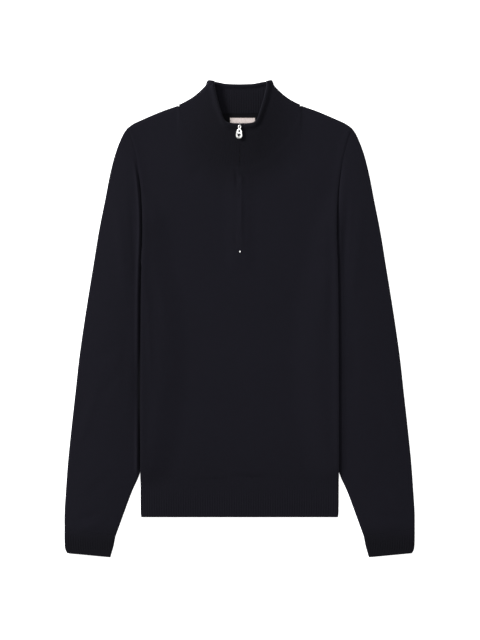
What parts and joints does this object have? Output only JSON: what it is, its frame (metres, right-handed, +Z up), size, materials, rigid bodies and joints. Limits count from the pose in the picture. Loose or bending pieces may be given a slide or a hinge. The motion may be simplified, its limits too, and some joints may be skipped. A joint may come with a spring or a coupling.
{
  "type": "quarter zip sweater, laid flat",
  "caption": "Fine knit sweater with a ribbed stand-up collar and a concealed zip at the neck, laid flat on its back with the sleeves down.",
  "frame": {"origin": "centre of the laid garment, on the surface that it lies on", "axes": "+X towards the wearer's left sleeve, +Y from hem to collar, +Z up from the surface"},
  "size_m": [0.5778, 0.7856, 0.0182],
  "materials": {
    "jersey": "fine plain knit wool, very dark navy",
    "rib": "fine ribbed knit wool, very dark navy",
    "zip_tape": "woven tape, very dark navy",
    "label": "plain woven satin, pale cream",
    "zip_metal": "polished silver metal"
  },
  "bodies": {
    "sweater": {"back_panel": "jersey", "front_panel": "jersey", "hem_rib_back": "rib", "hem_rib_front": "rib", "sleeve_left": "jersey", "sleeve_right": "jersey", "cuff_left": "rib", "cuff_right": "rib", "collar": "rib", "zip_tape_left": "zip_tape", "zip_tape_right": "zip_tape", "neck_label": "label", "zip_bottom_stop": "zip_metal", "zip_slider": "zip_metal"},
    "pull_tab": {"zip_puller": "zip_metal"}
  },
  "joints": [
    {"name": "pull_tab_hinge", "type": "hinge", "parent": "sweater", "child": "pull_tab", "pos_m": [0, 0.31723, 0.01588], "axis": [-0.9976, 0.069, 0.01], "range_deg": [0, 150]}
  ]
}
